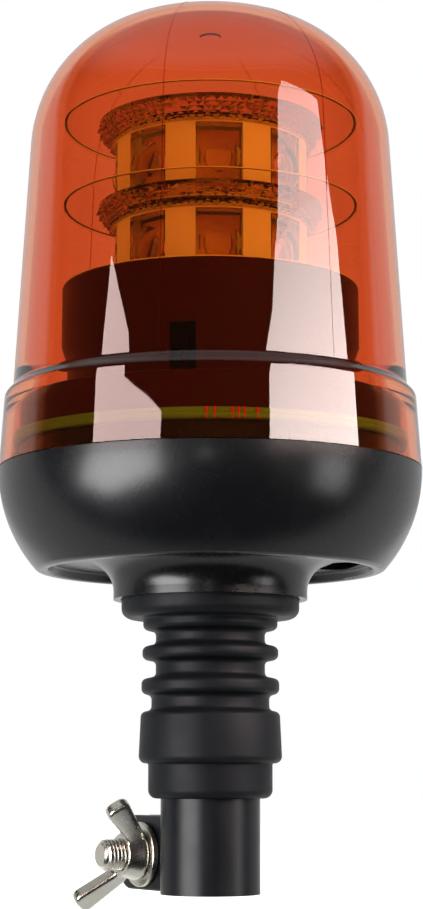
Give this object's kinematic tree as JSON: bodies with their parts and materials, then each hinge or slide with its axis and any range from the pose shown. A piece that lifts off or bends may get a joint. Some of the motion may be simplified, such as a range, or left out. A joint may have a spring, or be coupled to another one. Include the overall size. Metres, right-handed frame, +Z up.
{
  "type": "flexible pole-mount warning light",
  "caption": "Amber LED warning light: a domed lens on a black base, carried by a flexible rubber stem on a split pole clamp with a wing nut.",
  "frame": {"origin": "centre of the clamp tube's open lower end, on the bore's axis", "axes": "+Z up the light's axis towards the lens, clamp ears towards -X, wing nut facing -Y"},
  "size_m": [0.1308, 0.1308, 0.2798],
  "materials": {
    "clamp_coating": "satin black coating on the cast clamp",
    "zinc_steel": "bright zinc plate",
    "brass": "turned and stamped brass",
    "nylon_white": "moulded white nylon",
    "rubber_black": "matte moulded rubber",
    "base_plastic": "satin black moulded plastic",
    "lead_red": "insulated lead",
    "lead_black": "insulated lead",
    "circuit_green": "coated circuit board",
    "ferrite": "matte sintered block",
    "cooling_metal": "mill finish",
    "terminal_plastic": "moulded terminal block",
    "circuit_white": "white solder mask",
    "phosphor": "yellow lamp window",
    "clear_plastic": "clear moulded optic",
    "amber_lens": "transparent orange moulding"
  },
  "bodies": {
    "clamp": {"clamp_tube": "clamp_coating", "clamp_bolt": "zinc_steel", "contact_carrier": "nylon_white", "contact_terminal": "brass", "contact_spring": "zinc_steel", "rubber_stem": "rubber_black"},
    "nut_washer": {"clamp_washer": "zinc_steel"},
    "wing_nut": {"wing_nut": "zinc_steel"},
    "plunger": {"contact_plunger": "brass"},
    "stem_core": {"lead_positive": "lead_red", "lead_ground": "lead_black"},
    "head": {"stem_plate": "zinc_steel", "stem_nuts": "zinc_steel", "base_housing": "base_plastic", "lens_seal": "rubber_black", "driver_board": "circuit_green", "board_screws": "zinc_steel", "driver_capacitors": "cooling_metal", "driver_inductor": "ferrite", "driver_regulator": "cooling_metal", "terminal_block": "terminal_plastic", "drum_cover": "base_plastic", "drum_screws": "zinc_steel", "led_leads": "lead_red", "led_post_lower": "cooling_metal", "led_post_upper": "cooling_metal", "led_boards_lower": "circuit_white", "led_boards_upper": "circuit_white", "leds_lower": "phosphor", "leds_upper": "phosphor", "collimators_lower": "clear_plastic", "collimators_upper": "clear_plastic", "led_carrier_lower": "nylon_white", "led_carrier_upper": "nylon_white", "prism_disc_lower": "clear_plastic", "prism_disc_upper": "clear_plastic", "stack_washer": "zinc_steel", "stack_screw": "zinc_steel", "stack_nut": "zinc_steel"},
    "lens": {"lens_dome": "amber_lens"}
  },
  "joints": [
    {"name": "stem_bend_x", "type": "hinge", "parent": "clamp", "child": "stem_core", "pos_m": [0, 0, 0.067], "axis": [1, 0, 0], "range_deg": [-25, 25], "stiffness_Nm_per_rad": 10, "deforming": ["rubber_stem", "lead_positive", "lead_ground"]},
    {"name": "stem_bend_y", "type": "hinge", "parent": "stem_core", "child": "head", "pos_m": [0, 0, 0.067], "axis": [0, 1, 0], "range_deg": [-25, 25], "stiffness_Nm_per_rad": 10, "deforming": ["rubber_stem", "lead_positive", "lead_ground"]},
    {"name": "lens_twist", "type": "hinge", "parent": "head", "child": "lens", "pos_m": [0, 0, 0.1287], "axis": [0, 0, 1], "range_deg": [0, 24]},
    {"name": "nut_travel", "type": "slide", "parent": "clamp", "child": "nut_washer", "axis": [0, -1, 0], "range_m": [0, 0.005]},
    {"name": "nut_spin", "type": "hinge", "parent": "nut_washer", "child": "wing_nut", "pos_m": [-0.0305, -0.012, 0.011], "axis": [0, -1, 0], "range_deg": [0, 1440]},
    {"name": "contact_press", "type": "slide", "parent": "clamp", "child": "plunger", "axis": [0, 0, 1], "range_m": [0, 0.004], "stiffness_N_per_m": 800, "springref_m": -0.003, "deforming": ["contact_spring"]}
  ],
  "couplings": [
    {"joint": "nut_spin", "follows": "nut_travel", "rad_per_m": 5026.5}
  ]
}
